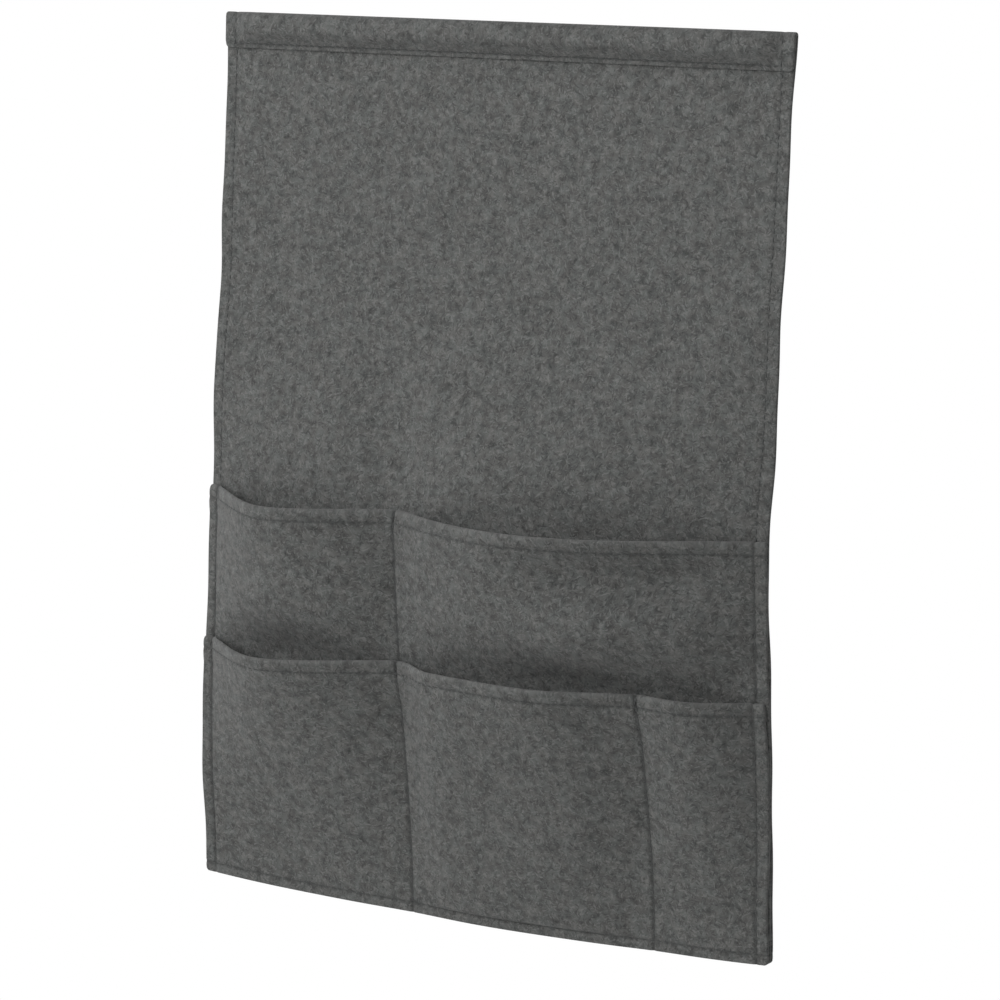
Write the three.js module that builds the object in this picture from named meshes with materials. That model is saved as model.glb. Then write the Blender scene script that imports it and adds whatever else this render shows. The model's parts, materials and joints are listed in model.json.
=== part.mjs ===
// Bedside caddy: a felt panel with a stiffening rod in a sleeve along its top edge, a plain flap
// that is tucked under a mattress, and two pocket strips sewn one over the other into five pockets.
// Millimetres, +Z up, the pockets face -Y. The origin is the middle of the tuck flap's flat back.
// Felt is laid out by "across" (from the centre line, to the right) and "height" (above the bottom edge).
import * as THREE from 'three';

// Felt panel
const PANEL_WIDTH = 420;
const PANEL_HEIGHT = 600;
const FELT = 2.5;
const LAYER_GAP = 0.3;

// Fold between the tuck flap and the hanging panel
const FOLD_HEIGHT = 420;
const FOLD_GAP = 0.4;

// Sleeve along the top edge, and its rod
const SLEEVE_HEIGHT = 24;
const SLEEVE_SEAM_INSET = 3;
const SLEEVE_PINCH_RUN = 14;
const ROD_DIAMETER = 8;
const ROD_CLEARANCE = 0.3;

// Pocket strips, mouths above the bottom edge and dividers from the left edge
const UPPER_MOUTH_HEIGHT = 280;
const LOWER_MOUTH_HEIGHT = 179;
const DIVIDER_1_FROM_LEFT = 163;
const DIVIDER_2_FROM_LEFT = 340;

// Hem turned in along each mouth
const MOUTH_HEM = 13;
const MOUTH_SEAM_INSET = 10;
const HEM_RISE_RUN = 20;

// How far each pocket's mouth stands open, and the share of it that leans towards the left
const UPPER_LEFT_GAPE = 38;
const UPPER_RIGHT_GAPE = 33;
const UPPER_RIGHT_LEAN = 0.12;
const LOWER_LEFT_GAPE = 30;
const LOWER_MIDDLE_GAPE = 12;
const LOWER_MIDDLE_LEAN = 0.25;
const LOWER_RIGHT_GAPE = 13;
const GAPE_POWER = 1.5;

// How the felt hangs below the fold
const CROWN = 33;
const CROWN_HEIGHT = 275;
const CURL = 30;
const CURL_POWER = 1.5;
const TWIST = 19;
const BOTTOM_SAG = 5;

// Seams
const EDGE_SEAM_INSET = 8;
const BOTTOM_SEAM_INSET = 7;
const MOUTH_SEAM_END = 2;
const THREAD_WIDTH = 1;
const THREAD_THICKNESS = 0.5;
const THREAD_STEP_RUN = 0.8;

// Facets
const ARC_STEPS = 10;
const MOUTH_STEPS = 4;
const PINCH_STEPS = 6;
const ROD_SIDES = 24;

// Places that follow from the sizes above
const HALF_WIDTH = PANEL_WIDTH / 2;
const EDGE_SEAM = HALF_WIDTH - EDGE_SEAM_INSET;
const DIVIDER_1 = DIVIDER_1_FROM_LEFT - HALF_WIDTH;
const DIVIDER_2 = DIVIDER_2_FROM_LEFT - HALF_WIDTH;
const LAYER = FELT + LAYER_GAP;
const SLEEVE_RADIUS = ROD_DIAMETER / 2 + ROD_CLEARANCE;
const RAW_EDGE = PANEL_HEIGHT - SLEEVE_HEIGHT;
const SLEEVE_SEAM = RAW_EDGE + SLEEVE_SEAM_INSET;
const SLEEVE_FOOT = SLEEVE_SEAM + THREAD_WIDTH / 2 + FELT / 2;
const LAP_FRONT = LAYER + FELT;
const ROD_HEIGHT = PANEL_HEIGHT - FELT - SLEEVE_RADIUS;
const MOUTH_RADIUS = FELT + LAYER_GAP / 2;
const FLAP_BOTTOM = FOLD_HEIGHT + FOLD_GAP / 2;
const PANEL_TOP = FOLD_HEIGHT - FOLD_GAP / 2;
const ORIGIN_HEIGHT = (FOLD_HEIGHT + ROD_HEIGHT) / 2;

const { clamp, lerp, smoothstep } = THREE.MathUtils;

// A swell that is 0 at both ends of 0..1 and 1 at its peak.
function swell(position, peak) {
  if (position < peak) return smoothstep(position, 0, peak);
  return 1 - smoothstep(position, peak, 1);
}

// The back face of the hanging panel. It crowns forward in the middle, curls back towards its
// bottom edge and turns a little about the vertical. Felt keeps its width, so a bowed row of it
// is drawn in.
function panelBack(across, height) {
  const drop = clamp((FOLD_HEIGHT - height) / FOLD_HEIGHT, 0, 1);
  const side = across / HALF_WIDTH;
  const crown = CROWN * swell(drop, 1 - CROWN_HEIGHT / FOLD_HEIGHT);
  const curl = CURL * drop ** CURL_POWER;
  const twist = TWIST * Math.sin(drop * Math.PI / 2);
  const forward = crown * (1 - side * side) - curl - twist * side;
  const bend = 2 * crown / HALF_WIDTH ** 2;
  const turn = twist / HALF_WIDTH;
  const drawnIn = (bend ** 2 * across ** 3 / 3 + bend * turn * across ** 2 + turn ** 2 * across) / 2;
  const sag = BOTTOM_SAG * (1 - side * side) * clamp(1 - height / UPPER_MOUTH_HEIGHT, 0, 1);
  return new THREE.Vector3(across - drawnIn, -forward, height - sag - ORIGIN_HEIGHT);
}

// The same face carried straight up: the tuck flap is flat.
function flapBack(across, height) {
  return new THREE.Vector3(across, 0, height - ORIGIN_HEIGHT);
}

// How far a pocket's mouth pulls its strip away from the layer behind. It is nothing at the seams.
function gapeOf(pockets, mouth, across, height) {
  const rise = clamp((height - BOTTOM_SEAM_INSET) / (mouth - BOTTOM_SEAM_INSET), 0, 1) ** GAPE_POWER;
  const pocket = pockets.find(({ from, to }) => across > from && across < to);
  if (!pocket) return 0;
  const share = (across - pocket.from) / (pocket.to - pocket.from);
  const bulge = Math.sin(Math.PI * share) + pocket.lean * Math.sin(2 * Math.PI * share);
  return pocket.gape * bulge * rise;
}

const upperPockets = [
  { from: -EDGE_SEAM, to: DIVIDER_1, gape: UPPER_LEFT_GAPE, lean: 0 },
  { from: DIVIDER_1, to: EDGE_SEAM, gape: UPPER_RIGHT_GAPE, lean: UPPER_RIGHT_LEAN },
];
const lowerPockets = [
  { from: -EDGE_SEAM, to: DIVIDER_1, gape: LOWER_LEFT_GAPE, lean: 0 },
  { from: DIVIDER_1, to: DIVIDER_2, gape: LOWER_MIDDLE_GAPE, lean: LOWER_MIDDLE_LEAN },
  { from: DIVIDER_2, to: EDGE_SEAM, gape: LOWER_RIGHT_GAPE, lean: 0 },
];

// Moves a strip's back face off the layer behind it, by its gape and by the hem turned in at its
// mouth. A strip that swings out keeps its length, so its mouth dips.
function standOff(point, pockets, mouth, across, height) {
  const gape = gapeOf(pockets, mouth, across, height);
  const hemEdge = mouth - MOUTH_HEM;
  const hem = LAYER * smoothstep(height, hemEdge - HEM_RISE_RUN, hemEdge);
  point.y -= LAYER + Math.hypot(gape, hem);
  point.z -= GAPE_POWER ** 2 * gape ** 2 / (2 * (2 * GAPE_POWER - 1) * mouth);
  return point;
}

function upperStripBack(across, height) {
  return standOff(panelBack(across, height), upperPockets, UPPER_MOUTH_HEIGHT, across, height);
}

function lowerStripBack(across, height) {
  return standOff(upperStripBack(across, height), lowerPockets, LOWER_MOUTH_HEIGHT, across, height);
}

// How far a strip's front lies before its back face: one felt, and less where its mouth rounds over.
function stripFront(mouth, height) {
  const intoFold = clamp(height - mouth + MOUTH_RADIUS, 0, MOUTH_RADIUS);
  return Math.sqrt(MOUTH_RADIUS ** 2 - intoFold ** 2) - LAYER_GAP / 2;
}

// The front face of whatever layer is outermost at a height on the hanging panel.
function pocketsFront(across, height) {
  let point = panelBack(across, height);
  let depth = FELT;
  if (height <= UPPER_MOUTH_HEIGHT) {
    point = upperStripBack(across, height);
    depth = stripFront(UPPER_MOUTH_HEIGHT, height);
  }
  if (height <= LOWER_MOUTH_HEIGHT) {
    point = lowerStripBack(across, height);
    depth = stripFront(LOWER_MOUTH_HEIGHT, height);
  }
  point.y -= depth;
  return point;
}

// The same front, raised where an upright thread crosses the thread of a mouth.
const mouthSeams = [UPPER_MOUTH_HEIGHT - MOUTH_SEAM_INSET, LOWER_MOUTH_HEIGHT - MOUTH_SEAM_INSET];
const crossingReach = THREAD_WIDTH / 2 + LAYER_GAP;
function overMouthSeams(across, height) {
  const point = pocketsFront(across, height);
  const crosses = mouthSeams.some((seam) => Math.abs(height - seam) < crossingReach + THREAD_STEP_RUN / 2);
  if (crosses) point.y -= THREAD_THICKNESS + LAYER_GAP;
  return point;
}

// The front face of the flap, and of the sleeve's lap above its raw edge.
function flapFront(across, height) {
  const point = flapBack(across, height);
  point.y -= height < RAW_EDGE ? FELT : LAP_FRONT;
  return point;
}

// Stations from one stop to the next, with so many steps between each two stops.
function stations(stops, steps) {
  const list = [stops[0]];
  for (let i = 1; i < stops.length; i += 1) {
    for (let k = 1; k <= steps[i - 1]; k += 1) {
      list.push(lerp(stops[i - 1], stops[i], k / steps[i - 1]));
    }
  }
  return list;
}

// A point of a section: its depth towards the front and its height along the felt.
const at = (depth, height) => ({ depth, height });

// A felt or a thread is a ribbon. At each station across it, a path of pairs runs along it, one
// point on its front and one on its back, and the path is laid on a face.
function ribbon(acrossList, pathAt, face) {
  const paths = acrossList.map(pathAt);
  const rows = paths[0].length;
  const corners = paths.flatMap((path, i) => path.flat().flatMap(({ depth, height }) => {
    const point = face(acrossList[i], height);
    return [point.x, point.y - depth, point.z];
  }));
  const front = (i, k) => 2 * (i * rows + k);
  const back = (i, k) => front(i, k) + 1;
  const lastColumn = paths.length - 1;
  const lastRow = rows - 1;
  const faces = [];
  const quad = (a, b, c, d) => faces.push(a, b, c, a, c, d);
  for (let i = 0; i < lastColumn; i += 1) {
    for (let k = 0; k < lastRow; k += 1) {
      quad(front(i, k), front(i + 1, k), front(i + 1, k + 1), front(i, k + 1));
      quad(back(i, k), back(i, k + 1), back(i + 1, k + 1), back(i + 1, k));
    }
    quad(front(i, 0), back(i, 0), back(i + 1, 0), front(i + 1, 0));
    quad(front(i, lastRow), front(i + 1, lastRow), back(i + 1, lastRow), back(i, lastRow));
  }
  for (let k = 0; k < lastRow; k += 1) {
    quad(front(0, k), front(0, k + 1), back(0, k + 1), back(0, k));
    quad(front(lastColumn, k), back(lastColumn, k), back(lastColumn, k + 1), front(lastColumn, k + 1));
  }
  const geometry = new THREE.BufferGeometry();
  geometry.setAttribute('position', new THREE.Float32BufferAttribute(corners, 3));
  geometry.setIndex(faces);
  geometry.computeVertexNormals();
  return geometry;
}

// A flat path between two depths.
function flatPath(heights, near, far) {
  return heights.map((height) => [at(far, height), at(near, height)]);
}

// A strip's path: up to its mouth, over, and down behind itself to the hem's raw edge.
function stripPath(heights, mouth) {
  const path = flatPath(heights, 0, FELT);
  for (let i = 1; i <= MOUTH_STEPS; i += 1) {
    const turn = Math.PI * i / MOUTH_STEPS;
    path.push([MOUTH_RADIUS, LAYER_GAP / 2].map((radius) => at(
      radius * Math.cos(turn) - LAYER_GAP / 2,
      mouth - MOUTH_RADIUS + radius * Math.sin(turn),
    )));
  }
  path.push([at(-LAYER, mouth - MOUTH_HEM), at(-LAYER_GAP, mouth - MOUTH_HEM)]);
  return path;
}

// The flap's path: up, over the rod, straight down from the rod to the lap's foot and to its raw
// edge in front. The sleeve is pinched flat from each end to its seam and round where the rod lies.
function flapPath(across) {
  const fromSeam = EDGE_SEAM - THREAD_WIDTH - Math.abs(across);
  const radius = lerp(LAYER_GAP / 2, SLEEVE_RADIUS, smoothstep(fromSeam, 0, SLEEVE_PINCH_RUN));
  const centre = at(FELT + radius, PANEL_HEIGHT - FELT - radius);
  const footDrop = centre.height - SLEEVE_FOOT;
  const footDepth = LAYER - centre.depth;
  const taper = Math.atan2(footDrop, footDepth) - Math.acos(radius / Math.hypot(footDrop, footDepth));
  const path = flatPath([FLAP_BOTTOM], 0, FELT);
  for (let i = 0; i <= ARC_STEPS; i += 1) {
    const turn = (Math.PI + taper) * i / ARC_STEPS;
    path.push([radius, radius + FELT].map((r) => at(
      centre.depth - r * Math.cos(turn),
      centre.height + r * Math.sin(turn),
    )));
  }
  path.push([at(LAYER, SLEEVE_FOOT), at(LAP_FRONT, SLEEVE_FOOT - FELT * Math.tan(taper / 2))]);
  path.push([at(LAYER, RAW_EDGE), at(LAP_FRONT, RAW_EDGE)]);
  return path;
}

const feltGrey = new THREE.MeshStandardMaterial({ color: 0x5e5f5e, roughness: 0.95, metalness: 0 });
const threadGrey = new THREE.MeshStandardMaterial({ color: 0x414342, roughness: 0.7, metalness: 0 });
const rodWhite = new THREE.MeshStandardMaterial({ color: 0xd9d8d2, roughness: 0.4, metalness: 0 });

const caddy = new THREE.Group();

function add(name, geometry, material) {
  const mesh = new THREE.Mesh(geometry, material);
  mesh.name = name;
  caddy.add(mesh);
  return mesh;
}

// A seam's thread lies on a face, one gap off it.
function addThread(name, acrossList, heights, face) {
  const path = flatPath(heights, LAYER_GAP, LAYER_GAP + THREAD_THICKNESS);
  add(name, ribbon(acrossList, () => path, face), threadGrey);
}

const threadBand = (centre) => [centre - THREAD_WIDTH / 2, centre + THREAD_WIDTH / 2];

// Station lists that the layers share, so that their facets lie alike
const acrossAll = stations(
  [-HALF_WIDTH, -EDGE_SEAM, DIVIDER_1, DIVIDER_2, EDGE_SEAM, HALF_WIDTH],
  [1, 8, 9, 5, 1],
);
const hemStops = (mouth) => [
  mouth - MOUTH_HEM - HEM_RISE_RUN,
  mouth - MOUTH_HEM,
  mouth - MOUTH_SEAM_INSET,
  mouth - MOUTH_RADIUS,
];
const heightsLower = stations([0, BOTTOM_SEAM_INSET, ...hemStops(LOWER_MOUTH_HEIGHT)], [1, 5, 2, 1, 1]);
const heightsUpper = [
  ...heightsLower,
  ...stations([LOWER_MOUTH_HEIGHT + THREAD_STEP_RUN, ...hemStops(UPPER_MOUTH_HEIGHT)], [3, 2, 1, 1]),
];
const heightsPanel = [
  ...heightsUpper,
  ...stations([UPPER_MOUTH_HEIGHT + THREAD_STEP_RUN, PANEL_TOP], [5]),
];

// Tuck flap with its sleeve, and the rod inside it
const pinchStart = EDGE_SEAM - THREAD_WIDTH;
const pinchEnd = pinchStart - SLEEVE_PINCH_RUN;
const acrossFlap = stations(
  [-HALF_WIDTH, -pinchStart, -pinchEnd, pinchEnd, pinchStart, HALF_WIDTH],
  [1, PINCH_STEPS, 1, PINCH_STEPS, 1],
);
add('tuck_flap', ribbon(acrossFlap, flapPath, flapBack), feltGrey);

const rod = add('sleeve_rod', new THREE.CylinderGeometry(
  ROD_DIAMETER / 2,
  ROD_DIAMETER / 2,
  2 * pinchEnd,
  ROD_SIDES,
), rodWhite);
rod.rotation.z = Math.PI / 2;
rod.position.set(0, -FELT - SLEEVE_RADIUS, ROD_HEIGHT - ORIGIN_HEIGHT);

// Hanging panel and the two pocket strips
const panelPath = flatPath(heightsPanel, 0, FELT);
const upperPath = stripPath(heightsUpper, UPPER_MOUTH_HEIGHT);
const lowerPath = stripPath(heightsLower, LOWER_MOUTH_HEIGHT);
add('back_panel', ribbon(acrossAll, () => panelPath, panelBack), feltGrey);
add('upper_pocket_strip', ribbon(acrossAll, () => upperPath, upperStripBack), feltGrey);
add('lower_pocket_strip', ribbon(acrossAll, () => lowerPath, lowerStripBack), feltGrey);

// Threads on the flap
const besideEdgeThread = EDGE_SEAM - THREAD_WIDTH / 2 - LAYER_GAP;
const flapThreadHeights = [FLAP_BOTTOM, RAW_EDGE - THREAD_STEP_RUN, RAW_EDGE, PANEL_HEIGHT - 2 * FELT];
addThread('sleeve_thread', [-besideEdgeThread, besideEdgeThread], threadBand(SLEEVE_SEAM), flapFront);
addThread('left_edge_thread_upper', threadBand(-EDGE_SEAM), flapThreadHeights, flapFront);
addThread('right_edge_thread_upper', threadBand(EDGE_SEAM), flapThreadHeights, flapFront);

// Threads along the mouths, which the upright threads cross
const mouthThreadEnd = HALF_WIDTH - MOUTH_SEAM_END;
const acrossMouth = acrossAll.map((across) => clamp(across, -mouthThreadEnd, mouthThreadEnd));
addThread('upper_mouth_thread', acrossMouth, threadBand(mouthSeams[0]), pocketsFront);
addThread('lower_mouth_thread', acrossMouth, threadBand(mouthSeams[1]), pocketsFront);

// Threads on the hanging panel. Upright ones start above the bottom seam, hop over the mouth
// threads, round over the mouths and step back to the layer behind.
const bottomSeamBand = threadBand(BOTTOM_SEAM_INSET);
const acrossBottom = acrossAll.filter((across) => Math.abs(across) <= EDGE_SEAM);
addThread('bottom_thread', acrossBottom, bottomSeamBand, pocketsFront);

const threadFoot = bottomSeamBand[1] + LAYER_GAP;
const crossingStops = mouthSeams.flatMap((seam) => [-1, 1].flatMap((side) => [
  seam + side * crossingReach,
  seam + side * (crossingReach + THREAD_STEP_RUN),
]));
const mouthStops = [LOWER_MOUTH_HEIGHT, UPPER_MOUTH_HEIGHT].flatMap((mouth) => (
  [0.5, 0.87, 1].map((share) => mouth - MOUTH_RADIUS * (1 - share))
));
const uprightHeights = (top) => [threadFoot, ...heightsPanel, ...crossingStops, ...mouthStops]
  .filter((height) => height >= threadFoot && height <= top)
  .sort((a, b) => a - b);
addThread('left_edge_thread_lower', threadBand(-EDGE_SEAM), uprightHeights(PANEL_TOP), overMouthSeams);
addThread('right_edge_thread_lower', threadBand(EDGE_SEAM), uprightHeights(PANEL_TOP), overMouthSeams);
addThread('divider_1_thread', threadBand(DIVIDER_1), uprightHeights(UPPER_MOUTH_HEIGHT), overMouthSeams);
addThread('divider_2_thread', threadBand(DIVIDER_2), uprightHeights(LOWER_MOUTH_HEIGHT), overMouthSeams);

export default caddy;
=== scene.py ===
import json
import math

import bpy
import numpy as np
from bpy.props import FloatProperty, FloatVectorProperty, IntProperty, PointerProperty
from mathutils import Matrix, Vector


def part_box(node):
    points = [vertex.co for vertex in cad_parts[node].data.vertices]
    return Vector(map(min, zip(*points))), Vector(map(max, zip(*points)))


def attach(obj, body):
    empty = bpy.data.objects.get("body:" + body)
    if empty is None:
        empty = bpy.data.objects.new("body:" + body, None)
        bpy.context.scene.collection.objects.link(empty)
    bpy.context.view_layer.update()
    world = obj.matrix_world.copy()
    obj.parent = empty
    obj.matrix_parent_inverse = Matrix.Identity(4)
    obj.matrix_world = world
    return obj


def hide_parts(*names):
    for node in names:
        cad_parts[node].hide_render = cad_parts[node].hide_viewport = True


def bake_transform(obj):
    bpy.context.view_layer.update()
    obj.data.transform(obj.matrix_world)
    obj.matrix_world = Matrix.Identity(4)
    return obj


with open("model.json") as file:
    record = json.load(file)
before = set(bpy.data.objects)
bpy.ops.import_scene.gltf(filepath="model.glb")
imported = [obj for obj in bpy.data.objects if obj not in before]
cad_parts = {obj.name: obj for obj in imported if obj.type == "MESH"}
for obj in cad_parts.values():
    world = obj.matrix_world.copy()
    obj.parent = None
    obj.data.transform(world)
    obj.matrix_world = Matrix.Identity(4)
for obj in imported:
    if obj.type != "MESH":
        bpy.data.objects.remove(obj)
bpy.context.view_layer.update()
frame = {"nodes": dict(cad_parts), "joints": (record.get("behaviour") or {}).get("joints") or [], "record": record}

bl_info = {
    "name": "Felt Bedside Caddy",
    "version": (1, 0, 0),
    "blender": (4, 5, 0),
    "location": "3D View > Sidebar > Caddy",
    "description": "Builds a felt bedside caddy with a rod sleeve and two layers of hemmed pockets",
    "category": "Object",
}

FINISHES = {entry["slot"]: entry["base_color"] for entry in frame["record"]["materials"]}
FLAP_LOW, FLAP_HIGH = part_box("tuck_flap")
ROD_LOW, ROD_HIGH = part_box("sleeve_rod")
FOLD_LINE = Vector(frame["joints"][0]["pos_m"])


# Settings

def properties(maker, common, settings):
    """Properties from key=(default, description), each named after its key."""
    return {
        key: maker(name=key.replace("_", " ").title(), description=text, default=default, **common)
        for key, (default, text) in settings.items()
    }


def lengths(**settings):
    return properties(FloatProperty, {"unit": "LENGTH", "precision": 4}, settings)


def length_lists(**settings):
    return properties(FloatVectorProperty, {"unit": "LENGTH", "precision": 4}, settings)


def shares(**settings):
    return properties(FloatProperty, {"subtype": "FACTOR", "min": 0, "max": 1}, settings)


def numbers(unit="NONE", **settings):
    return properties(FloatProperty, {"unit": unit, "precision": 3}, settings)


def angles(**settings):
    return properties(FloatProperty, {"subtype": "ANGLE"}, settings)


def colours(**settings):
    return properties(FloatVectorProperty, {"subtype": "COLOR", "min": 0, "max": 1}, settings)


def shade(colour, factors):
    return tuple(c * f for c, f in zip(colour, factors))


class CaddyFelt(bpy.types.PropertyGroup):
    """The felt that everything is cut from."""

    __annotations__ = lengths(
        width=(FLAP_HIGH.x - FLAP_LOW.x, "Width of every felt"),
        height=(0.600, "Height of the caddy when flat"),
        fold_height=(0.420, "Height of the fold under the tuck flap"),
        thickness=(0.0025, "Thickness of the felt"),
        gap=(0.0003, "Gap between sewn layers"),
        cut_round=(0.0011, "How far a cut edge is rounded"),
        corner_round=(0.0030, "Radius of the bottom corners"),
        mesh_step=(0.0042, "Spacing of the mesh away from seams"),
    )


class CaddySleeve(bpy.types.PropertyGroup):
    """The sleeve along the top edge, folded to the front over its rod."""

    __annotations__ = lengths(
        height=(0.024, "From the top edge to the raw edge of the lap"),
        seam_inset=(0.003, "From the raw edge up to the seam"),
        clearance=(0.0003, "Room around the rod"),
        pinch_run=(0.014, "Length over which an end is pinched flat"),
    )


class CaddyPockets(bpy.types.PropertyGroup):
    """The two pocket strips, with a hem turned in along each mouth."""

    OPEN = "How far this mouth stands open"
    LATE = "How late this pocket opens on the way up"
    BENT = "How sharply this pocket bends down its middle"
    PEAK = "Where across this pocket stands out most"

    __annotations__ = lengths(
        upper_mouth=(0.280, "Height of the upper mouth"),
        lower_mouth=(0.179, "Height of the lower mouth"),
        divider_1=(0.163, "First divider from the left edge"),
        divider_2=(0.340, "Second divider from the left edge"),
        hem=(0.013, "Depth of the hem turned in at a mouth"),
        hem_seam=(0.0088, "From a mouth down to its seam"),
        hem_rise=(0.020, "Run over which a strip rises over its hem"),
        seam_ease=(0.0035, "Run over which felt lies flat beside a seam"),
        upper_left_gape=(0.035, OPEN),
        upper_right_gape=(0.033, OPEN),
        lower_left_gape=(0.020, OPEN),
        lower_middle_gape=(0.013, OPEN),
        lower_right_gape=(0.011, OPEN),
        tuck_rise=(0.037, "How far above the lower mouth the upper strip is full again"),
        pit_run=(0.014, "Half height of the pits behind the lower mouths"),
        belly=(0.009, "How far the upper right pocket swells under its dent"),
        belly_drop=(0.060, "From the upper mouth down to the swell"),
        belly_run=(0.021, "Half height of the swell"),
        dent=(0.0130, "Depth of the dent under the upper right mouth"),
        dent_drop=(0.026, "From the upper mouth down to the dent"),
        dent_run=(0.016, "Half height of the dent"),
    ) | length_lists(
        upper_tilt=(
            (-0.0027, -0.0005, 0.0025), "Rise of the upper mouth at its left end, middle and right end",
        ),
        lower_tilt=(
            (-0.0080, -0.0002, -0.0024), "Rise of the lower mouth at its left end, middle and right end",
        ),
    ) | numbers(
        gape_power=(1.5, "How late the other pockets open on the way up"),
        lower_middle_power=(0.36, LATE),
        lower_right_power=(0.8, LATE),
    ) | shares(
        upper_left_crest=(0.65, BENT),
        lower_left_crest=(0.55, BENT),
        upper_left_peak=(0.45, PEAK),
        lower_left_peak=(0.40, PEAK),
        lower_middle_left=(0.20, "Share of this pocket's width that its left side takes"),
        lower_middle_right=(0.38, "Share of this pocket's width that its right side takes"),
        hem_press=(0.6, "Share by which a hem is pressed flat at the side seams"),
        tuck=(0.62, "Share by which the upper strip sinks behind the lower mouth"),
        pit=(0.75, "Share by which the upper strip sinks further in a pit behind each lower mouth"),
    )


class CaddyHang(bpy.types.PropertyGroup):
    """How the felt hangs below the fold."""

    __annotations__ = lengths(
        crown=(0.033, "How far the middle swells forward"),
        crown_height=(0.275, "Height at which it swells most"),
        curl=(0.030, "How far the bottom edge curls back"),
        twist=(0.019, "How far one bottom corner turns forward"),
        sag=(0.005, "How far the bottom edge sags in the middle"),
        pull=(0.0062, "How far the dividers draw the felt back"),
        pull_run=(0.030, "Half width of the valley along a divider"),
        wave=(0.0006, "Height of the slow waves in the felt"),
        edge_wander=(0.0004, "How far a cut edge strays from straight"),
    ) | numbers(
        curl_power=(1.5, "How late the curl starts"),
        crease_lean=(0.28, "How far the valley leans to the left above its divider"),
        crease_depth=(1.5, "How much deeper the valley is above its divider, in times its depth"),
    ) | shares(
        crease=(0.25, "Share of the pull that runs on up the flap"),
    )


class CaddySeams(bpy.types.PropertyGroup):
    """The seams and their stitches."""

    __annotations__ = lengths(
        edge_inset=(0.008, "From a side edge to its seam"),
        bottom_inset=(0.007, "From the bottom edge to its seam"),
        furrow_depth=(0.0008, "How deep a seam sinks into the felt"),
        furrow_width=(0.0012, "Half width of a seam's furrow"),
        pitch=(0.0052, "From one stitch to the next"),
        stitch=(0.0041, "Length of thread that shows in a stitch"),
        thread=(0.0008, "Diameter of the sewing thread"),
    ) | properties(IntProperty, {}, {"seed": (7, "Seed of the stitches' small differences")})


class CaddyFinishes(bpy.types.PropertyGroup):
    """Colours."""

    __annotations__ = colours(
        felt_cool=(shade(FINISHES["felt"], (0.985, 1.01, 1.00)), "Cooler half of the felt's blend"),
        felt_warm=(shade(FINISHES["felt"], (1.015, 1.00, 0.985)), "Warmer half of the felt's blend"),
        # Also the colour of the painted highlight along the fold of each hem
        fibre_light=((0.265, 0.268, 0.262), "Lightest fibres"),
        # Also the colour of the painted shade in the seam furrows and on the cut edges
        fibre_dark=((0.030, 0.031, 0.031), "Darkest fibres"),
        thread=(FINISHES["thread"], "Sewing thread"),
        rod=(FINISHES["rod"], "Sleeve rod"),
        floor=((0.86, 0.86, 0.85), "Studio floor"),
    )


class CaddyStudio(bpy.types.PropertyGroup):
    """Camera and light."""

    __annotations__ = angles(
        turn=(math.radians(29.2), "Camera's turn to the right of the front"),
        lift=(math.radians(8.11), "Camera's height as an angle"),
        roll=(math.radians(2.64), "Camera's roll"),
    ) | lengths(
        distance=(1.9716, "From the camera to its target"),
        target_across=(0.0165, "Target to the right of the middle"),
        target_height=(0.28976, "Target above the bottom edge"),
        floor_drop=(0.45, "Floor below the caddy's bottom edge"),
    ) | numbers(
        "CAMERA",
        lens=(108.1, "Focal length of the camera"),
    ) | numbers(
        "POWER",
        key=(20.0, "Power of the front lamp"),
        side=(5.2, "Power of the lamp on the left"),
        top=(5.0, "Power of the lamp above"),
        back=(14.0, "Power of the lamp behind"),
    ) | numbers(
        ambient=(0.235, "Strength of the even light"),
    )


GROUPS = {
    "felt": CaddyFelt,
    "sleeve": CaddySleeve,
    "pockets": CaddyPockets,
    "hang": CaddyHang,
    "seams": CaddySeams,
    "finishes": CaddyFinishes,
    "studio": CaddyStudio,
}


class CaddySettings(bpy.types.PropertyGroup):
    """Everything that a user would change."""

    __annotations__ = {
        name: PointerProperty(name=name.title(), description=group.__doc__.rstrip("."), type=group)
        for name, group in GROUPS.items()
    }


# Shape of the felt

# Distances from a seam and from an end at which the mesh gets extra stations
SEAM_STATIONS = (0.0, 0.0006, 0.0013, 0.0021, 0.0032)
END_STATIONS = (0.0, 0.00012, 0.00035, 0.0007, 0.0011, 0.002)


def smooth(value, start, end):
    t = np.clip((value - start) / (end - start), 0, 1)
    return t * t * (3 - 2 * t)


def bell(distance, run):
    return np.exp(-((distance / run) ** 2))


def swell(position, peak):
    """0 at both ends of 0..1 and 1 at its peak."""
    return np.where(position < peak, smooth(position, 0, peak), 1 - smooth(position, peak, 1))


def graded(start, end, step, seams=()):
    """Stations from start to end: even steps, closer beside seams and beside both ends."""
    near = [start + d for d in END_STATIONS] + [end - d for d in END_STATIONS]
    near += [seam + side * d for seam in seams for d in SEAM_STATIONS for side in (-1, 1)]
    near = sorted({round(v, 6) for v in near if start <= v <= end})
    stations = [near[0]]
    for a, b in zip(near, near[1:]):
        count = max(1, int(round((b - a) / step)))
        stations += [a + (b - a) * k / count for k in range(1, count + 1)]
    return np.array(stations)


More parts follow.
